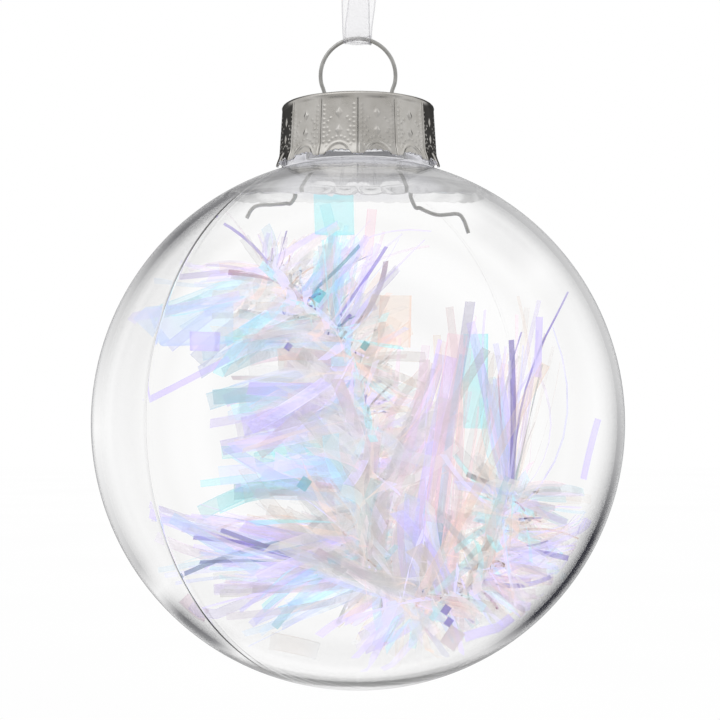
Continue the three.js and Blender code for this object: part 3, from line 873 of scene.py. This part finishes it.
def build_ribbon():
    """The loop, a knot of two turns at its top, and two tails."""
    loop_top = record["mounts"][0]["pos_m"][2] / MM - BALL_RADIUS
    full_width = ribbon_high.x - ribbon_low.x
    sheet = points, faces, across, along = [], [], [], []
    sideways, upwards = Vector((1, 0, 0)), Vector((0, 0, 1))

    def drawn_together(share):
        """The loop's width, narrower where it passes through the ring."""
        return full_width * (0.88 + 0.12 * smoothstep(0.0, 0.25, abs(2 * share - 1)))

    ribbon_strip(sheet, ribbon_path(loop_top), sideways, drawn_together)
    knot_z = loop_top + 1.9
    knot_radius = 1.75
    for tilt, width in ((0.25, 3.2), (-0.35, 2.6)):
        turn = []
        for i in range(41):
            x = knot_radius * math.cos(TAU * i / 40)
            turn.append(Vector((x, 1.45 * math.sin(TAU * i / 40), knot_z + x * tilt)))
        ribbon_strip(sheet, turn, upwards, lambda share, width=width: width, cup=0.3)
    for side in (-1, 1):
        tail = spline([(0.2 * side, 0.3 * side, knot_z), (0.6 * side, 1.0 * side, knot_z + 2.6),
                       (1.4 * side, 1.9 * side, knot_z + 5.6)], 16)
        ribbon_strip(sheet, tail, sideways, lambda share: 3.9)
    ribbon = to_mesh("organza_ribbon", points, faces, {"across": across, "along": along}, smooth_angle=80)
    thicken(ribbon, 0.06, 0)
    place(ribbon, organza(), "ribbon_loop")


# ---------------------------------------------------------------- the tinsel

TUFTS = [f"tinsel_tuft_{i}" for i in range(1, 9)]
FILM_THICKNESS = 0.03
REACH = INNER_RADIUS - 0.9  # how far from the ball's centre film may lie
HANGER_SLIDE = 1.5  # how far the hanger slides down through the cap
TINSEL_TURN = math.radians(33)  # a little more than the tinsel turns each way


def garland_path(count):
    """The core of the tinsel, through the middles of the CAD model's tufts and a little past both ends."""
    middles = []
    for name in TUFTS:
        low, high = box_mm(name)
        middles.append((low + high) / 2)
    ends = [middles[0] + (middles[0] - middles[1]) * 0.5, middles[-1] + (middles[-1] - middles[-2]) * 0.5]
    return spline([ends[0], *middles, ends[1]], count)


GARLAND = garland_path(400)
GARLAND_ALONG = tangents(GARLAND)


NARROW = (0.25, 0.5)
MIDDLING = (0.4, 0.9)
WIDE = (0.8, 1.7)
BROAD = (1.4, 2.8)
# The bunches of film strips that grow from each tuft: how many strips, where their tips lie, how far the
# tips spread, the strips' widths and their tint.
BUNCHES = {
    1: [(16, (-16, 0, 32), 5.0, NARROW, LAVENDER), (10, (-26, -4, 23), 3.0, MIDDLING, LAVENDER),
        (12, (-27, -6, 16), 4.0, WIDE, BLUE), (16, (-20, -8, 17), 4.5, WIDE, WHITE),
        (8, (-10, 6, 29), 4.0, NARROW, LAVENDER)],
    2: [(14, (-4, -2, 29), 3.0, WIDE, AQUA), (12, (-1, -2, 28), 3.5, MIDDLING, BLUE),
        (10, (1, 0, 30), 3.0, MIDDLING, VIOLET), (12, (4, 0, 28), 3.5, MIDDLING, LAVENDER),
        (5, (11, 0, 31), 2.5, NARROW, LAVENDER), (22, (-19, -8, 13), 5.0, WIDE, WHITE),
        (12, (-22, -10, 9), 4.5, BROAD, BLUE)],
    3: [(16, (-22, -8, 4), 5.0, BROAD, BLUE), (14, (-18, -10, -3), 5.0, BROAD, LAVENDER),
        (18, (-12, -10, 11), 6.0, BROAD, WHITE), (18, (9, -8, 3), 6.0, WIDE, WHITE),
        (5, (6, -9, 16), 3.0, BROAD, PEACH)],
    4: [(10, (-22, -8, -10), 4.5, BROAD, AQUA), (16, (-15, -10, -5), 6.0, BROAD, BLUE),
        (18, (11, -9, -2), 6.0, BROAD, WHITE), (18, (-6, -13, 0), 7.0, BROAD, WHITE)],
    5: [(26, (-28, -6, -15), 4.0, WIDE, LAVENDER), (22, (-26, -8, -20), 4.0, MIDDLING, BLUE),
        (22, (-21, -8, -25), 4.0, WIDE, LAVENDER), (20, (-14, -9, -14), 7.0, BROAD, WHITE),
        (14, (-15, -8, -29), 3.5, WIDE, BLUE), (18, (-6, -11, -8), 7.0, BROAD, WHITE),
        (14, (12, -8, 10), 4.0, WIDE, PINK), (14, (3, -11, -4), 7.0, BROAD, WHITE)],
    6: [(12, (14, -6, 16), 4.0, WIDE, PINK), (12, (19, -6, 12), 4.0, WIDE, PEACH),
        (18, (0, -8, -32), 6.0, WIDE, LAVENDER), (14, (9, -9, -31), 5.0, WIDE, WHITE),
        (14, (18, -7, -29), 4.0, BROAD, PEACH), (20, (-8, -8, -20), 6.0, BROAD, WHITE),
        (16, (8, -12, -12), 7.0, BROAD, WHITE)],
    7: [(26, (34, -4, -17), 3.5, NARROW, LAVENDER), (20, (30, -6, -23), 4.0, MIDDLING, LAVENDER),
        (10, (36, -2, -15), 2.5, NARROW, PINK), (14, (25, -6, -27), 3.5, WIDE, PINK),
        (12, (27, -4, 14), 5.0, MIDDLING, WHITE), (16, (20, -8, -8), 6.0, WIDE, WHITE)],
    8: [(9, (28, -4, 16), 4.5, NARROW, VIOLET), (9, (24, -4, 15), 5.0, MIDDLING, LAVENDER),
        (8, (19, -4, 11), 4.0, WIDE, BLUE), (8, (24, -6, 8), 4.0, MIDDLING, PEACH),
        (14, (13, -8, -5), 6.0, WIDE, WHITE)],
}
ROUND_COUNT = 70  # strips of each tuft that stand out all round the core
SHORT_COUNT = 90  # and short cut ends close to it
ROUND_LENGTHS = (7, 14)
SHORT_LENGTHS = (3, 6.5)
STRIP_PLACES = 9  # along a strip's length
WIDE_PIECE_PLACES = 12
CORE_TWISTS = 22
CORE_RADIUS = 0.25  # at which the two threads run
THREAD_RADIUS = 0.14
# Small folded chips caught in the fringe: the tuft, place, size, tint and how closely folded.
CHIPS = [
    (2, (-5.6, -14, 18.2), 1.5, AQUA, 3.2),
    (2, (-10, -12, 11), 0.9, VIOLET, 3.2),
    (3, (1, -14, 11), 1.0, AQUA, 3.2),
    (4, (-7.6, -15, -8.6), 1.5, AQUA, 2.4),
    (7, (12.5, -14, -26.5), 1.1, VIOLET, 3.2),
    (7, (12.9, -14, -28.2), 1.0, VIOLET, 3.2),
    (7, (13.4, -14, -30.4), 2.4, MAUVE, 1.0),
]


def inside_ball(point, limit):
    """The point, drawn in towards the ball's centre where it lies further out than the limit."""
    return point * (limit / point.length) if point.length > limit else point


def near_legs(path, reach):
    """Whether a path comes within reach of a leg, however the tinsel has turned and the hanger has slid."""
    for leg in LEG_PATHS.values():
        for bend in leg[::6]:
            for point in path:
                turn = math.remainder(math.atan2(point.y, point.x) - math.atan2(bend.y, bend.x), TAU)
                if abs(turn) > TINSEL_TURN:
                    continue
                outward = math.hypot(point.x, point.y) - math.hypot(bend.x, bend.y)
                rise = point.z - bend.z
                rise += min(max(-rise, 0), HANGER_SLIDE)
                if math.hypot(outward, rise) < reach:
                    return True
    return False


def tinsel_strip(root, tip, widths, tint, rng, fringe, crumpled=0.0):
    """One strip from the core to its tip, sprung into a slight bow and kept inside the ball.

    One in five takes any tint, a few are folded, and one that would meet the hanger's legs is left out.
    """
    limit = REACH - rng.random()
    reach = tip - root
    width = rng.uniform(*widths)
    spring = 0.3 if width < NARROW[1] else 0.15
    bow = Vector((rng.gauss(0, 1), rng.gauss(0, 1), rng.gauss(0, 1))).cross(reach) * spring
    path = []
    for i in range(STRIP_PLACES):
        s = i / (STRIP_PLACES - 1)
        path.append(inside_ball(root + reach * s + bow * s * (1 - s), limit))
    facing = Vector((rng.gauss(0, 1), rng.gauss(0, 1) - width, rng.gauss(0, 1))).normalized()
    twist = rng.gauss(0, 0.5)
    own_tint = (rng.random() if rng.random() < 0.2 else tint + rng.gauss(0, 0.07)) % 1
    slim = width < MIDDLING[1]
    folded = 0.0
    if rng.random() < (0.16 if slim else 0.04):
        folded = 3.0 if slim else 1.2
    if near_legs(path, 0.9 + width / 2):
        return
    look = {"tint": own_tint, "folded": folded, "crumpled": crumpled}
    add_strip(fringe, path, facing, width, twist, look)


def add_strip(fringe, path, facing, width, twist, look):
    """Adds a strip to a fringe: its points, its faces and, for each point, the strip's look."""
    points, faces, looks = fringe
    before = len(points)
    strip(path, facing, width, FILM_THICKNESS, points, faces, twist)
    for key, value in look.items():
        looks.setdefault(key, []).extend([value] * (len(points) - before))


def tuft(number, rng):
    """The fringe of one tuft: its bunches, strips standing out all round, short cut ends and chips."""
    fringe = ([], [], {})

    def root():
        """A random place on this tuft's stretch of the core, and the way the core heads there."""
        share = (number - 1 + rng.random()) / len(TUFTS)
        at = min(int(share * (len(GARLAND) - 1)), len(GARLAND) - 1)
        return GARLAND[at], GARLAND_ALONG[at]

    for count, middle, spread, widths, tint in BUNCHES[number]:
        for _ in range(count):
            aside = Vector((rng.gauss(0, 1), rng.gauss(0, 1.6), rng.gauss(0, 1))) * spread / 2
            start = root()[0]
            tip = start.lerp(Vector(middle) + aside, rng.uniform(0.72, 1.05))
            tinsel_strip(start, tip, widths, tint, rng, fringe)
    for i in range(ROUND_COUNT + SHORT_COUNT):
        start, along = root()
        radial = Matrix.Rotation(rng.uniform(0, TAU), 3, along) @ along.orthogonal().normalized()
        short = i >= ROUND_COUNT
        length = rng.uniform(*(SHORT_LENGTHS if short else ROUND_LENGTHS))
        tip = start + (radial + along * rng.gauss(0, 0.45)).normalized() * length
        tint = rng.choice((WHITE, WHITE, WHITE, LAVENDER, BLUE, PEACH))
        tinsel_strip(start, tip, NARROW if short else WIDE, tint, rng, fringe, 1.0 if short else 0.0)
    for chip_tuft, middle, size, tint, folded in CHIPS:
        if chip_tuft == number:
            half = Vector((0.35, 0, 0.5)).normalized() * size * 0.6
            path = [Vector(middle) - half, Vector(middle) + half]
            look = {"tint": tint, "folded": folded, "crumpled": 0.0}
            add_strip(fringe, path, Vector((0.1, -1, 0)), size, 0.0, look)
    return fringe


def build_tinsel(film):
    rng = random.Random(7)
    for number, node in enumerate(TUFTS, 1):
        points, faces, looks = tuft(number, rng)
        looks["across"] = strip_places(points)
        fringe = to_mesh(f"film_fringe_{number}", points, faces, looks, smooth_angle=30)
        place(fringe, film, node)
    thread = core_thread()
    for name, phase in (("a", 0.0), ("b", math.pi)):
        twisted = []
        for i, (centre, along) in enumerate(zip(GARLAND, GARLAND_ALONG)):
            side = Vector((0, 1, 0)).cross(along).normalized()
            turn = phase + TAU * CORE_TWISTS * i / len(GARLAND)
            twisted.append(centre + Matrix.Rotation(turn, 3, along) @ side * CORE_RADIUS)
        points, faces = [], []
        tube(twisted, THREAD_RADIUS, 8, points, faces)
        place(to_mesh(f"core_thread_{name}", points, faces), thread, f"tinsel_core_thread_{name}")


# ---------------------------------------------------------------- the wide film pieces

# The CAD node after its "film_", its tint, whether it rises to the right, and its width.
FILM_PIECES = [
    ("strip_upper_left", LAVENDER, True, 1.3), ("plate_left", BLUE, True, 5.8),
    ("chip_left", VIOLET, False, 2.7), ("strip_left", VIOLET, True, 0.9),
    ("plate_top", AQUA, False, 5.8), ("strip_top", PINK, True, 1.5),
    ("plate_centre", PEACH, True, 4.9), ("strip_centre_right", PINK, True, 2.9),
    ("strip_long_right", PEACH, True, 1.5), ("plate_right", AQUA, True, 4.1),
    ("strip_right", VIOLET, True, 1.0), ("strip_far_right", VIOLET, True, 1.0),
    ("strip_lower_right", LAVENDER, True, 1.2), ("chip_lower_right", MAUVE, True, 1.5),
    ("strip_bottom_right", VIOLET, True, 1.4), ("strip_lower_left", BLUE, False, 1.6),
    ("chip_lower_left", MAUVE, False, 2.0), ("plate_bottom", WHITE, False, 2.4),
]


def build_film_pieces(film):
    """The wide pieces of film, each laid from corner to corner of its CAD node's box with a slight bow."""
    rng = random.Random(11)
    for name, tint, rising, width in FILM_PIECES:
        low, high = box_mm(f"film_{name}")
        middle_y = (low.y + high.y) / 2
        left_z, right_z = (low.z, high.z) if rising else (high.z, low.z)
        if high.z - low.z > high.x - low.x:
            inset = min(width, high.x - low.x) / 2
            start = Vector((low.x + inset, middle_y, left_z))
            end = Vector((high.x - inset, middle_y, right_z))
        else:
            inset = min(width, high.z - low.z) / 2 * (1 if rising else -1)
            start = Vector((low.x, middle_y, left_z + inset))
            end = Vector((high.x, middle_y, right_z - inset))
        bow = rng.uniform(0.3, 0.9)
        path = []
        for i in range(WIDE_PIECE_PLACES):
            share = i / (WIDE_PIECE_PLACES - 1)
            point = start.lerp(end, share)
            point.y += bow * (1 - (2 * share - 1) ** 2)
            path.append(inside_ball(point, REACH - width / 2))
        points, faces = [], []
        facing = Vector((0.15, -1, 0.1))
        strip(path, facing, width, FILM_THICKNESS, points, faces, twist=rng.uniform(-0.3, 0.3))
        look = {"tint": [tint] * len(points), "across": strip_places(points)}
        place(to_mesh(f"wide_film_{name}", points, faces, look, smooth_angle=30), film, f"film_{name}")


# ---------------------------------------------------------------- floor, light and camera

def build_world():
    """Soft studio light that turns with the camera."""
    world = bpy.data.worlds.new("studio")
    bpy.context.scene.world = world
    world.use_nodes = True
    world.cycles.sampling_method = "NONE"
    tree = world.node_tree
    tree.nodes.clear()
    studio = studio_light(tree, add(tree, "TexCoord").outputs["Camera"])
    light_path = add(tree, "LightPath").outputs
    plain = maths(tree, "MAXIMUM", light_path["Is Camera Ray"], light_path["Is Diffuse Ray"])
    background = add(tree, "Background", Color=mix(tree, plain, studio, (1, 1, 1)), Strength=1.0)
    add(tree, "OutputWorld", Surface=background.outputs[0])


def build_floor():
    """A pale floor well below the hanging ball, as bright as the background."""
    reach = 4000
    depth = cad_low.z / MM - BALL_RADIUS - 45
    corners = [(x * reach, y * reach, depth) for x, y in ((-1, -1), (1, -1), (1, 1), (-1, 1))]
    floor = to_mesh("pale_floor", corners, [(0, 1, 2, 3)])
    material, tree = new_material("pale_floor")
    colour = ramp(tree, mottle(tree, own_place(tree), 6.0, 2.0), [(0.3, 0.99), (0.7, 1.0)])
    finish_surface(tree, add(tree, "Emission", Color=colour, Strength=1.0))
    floor.data.materials.append(material)
    floor.visible_glossy = False
    floor.visible_transmission = False
    floor.visible_diffuse = False
    floor.visible_shadow = False


def build_camera():
    """In front of the ball, a little below its middle and level, with the ball low in the picture."""
    distance = 5.8 * BALL_RADIUS
    below = 2.0
    ball_below_middle = 4 / 45  # of the picture's width
    camera_data = bpy.data.cameras.new("camera")
    camera_data.sensor_width = 36
    camera_data.lens = 76.3
    camera_data.clip_start = 0.01
    camera_data.shift_y = ball_below_middle + below / distance * camera_data.lens / camera_data.sensor_width
    camera = bpy.data.objects.new("camera", camera_data)
    bpy.context.scene.collection.objects.link(camera)
    camera.location = Vector((0.3, -distance, -below)) * MM + CENTRE
    camera.rotation_euler = (math.pi / 2, 0, 0)
    bpy.context.scene.camera = camera


def build_light():
    """One large soft light overhead, for gentle shading on the metal and the ribbon."""
    light_data = bpy.data.lights.new("overhead", "AREA")
    light_data.size = 0.5
    light_data.energy = 0.5
    light = bpy.data.objects.new("overhead", light_data)
    bpy.context.scene.collection.objects.link(light)
    light.location = (-0.25, -0.35, 0.6)
    light.rotation_euler = (CENTRE - light.location).to_track_quat("-Z", "Y").to_euler()
    light.visible_transmission = False


def tune_render():
    """Room for light to pass many sheets of film, and plain colour handling."""
    scene = bpy.context.scene
    scene.cycles.max_bounces = 28
    scene.cycles.transmission_bounces = 16
    scene.cycles.glossy_bounces = 20
    scene.cycles.diffuse_bounces = 3
    scene.cycles.transparent_max_bounces = 256
    scene.cycles.caustics_reflective = False
    scene.view_settings.view_transform = "Standard"


build_ball()
build_cap()
build_hanger()
build_ribbon()
build_tinsel(iridescent_film("fringe_film", 1.0, 0.42))
build_film_pieces(iridescent_film("wide_film", 1.9, 0.06))
build_world()
build_floor()
build_light()
build_camera()
tune_render()
